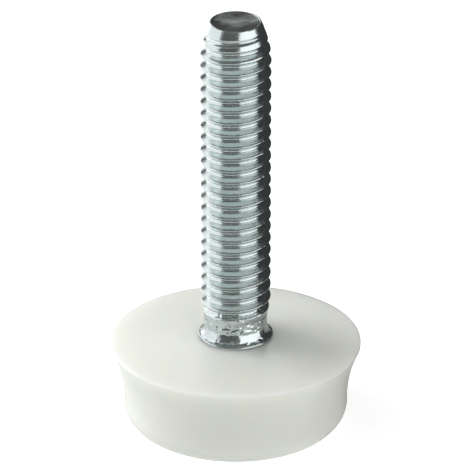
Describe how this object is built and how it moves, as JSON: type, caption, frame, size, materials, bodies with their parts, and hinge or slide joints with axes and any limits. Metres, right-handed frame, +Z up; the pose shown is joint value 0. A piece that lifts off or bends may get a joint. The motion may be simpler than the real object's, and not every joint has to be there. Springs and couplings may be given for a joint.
{
  "type": "furniture leveling foot",
  "caption": "Round flared plastic base moulded onto a steel threaded stud, which screws into a furniture leg to support and level it.",
  "frame": {"origin": "centre of the flat underside", "axes": "+Z up the stud's axis, from the underside to the stud's free end; +X to the right and -Y towards the viewer"},
  "size_m": [0.028, 0.028, 0.0483],
  "materials": {
    "nylon": "milky natural nylon, semi-gloss",
    "zinc_plated_steel": "clear zinc plate over rolled steel"
  },
  "bodies": {
    "root": {"nylon_base": "nylon", "threaded_stud": "zinc_plated_steel"}
  },
  "joints": []
}
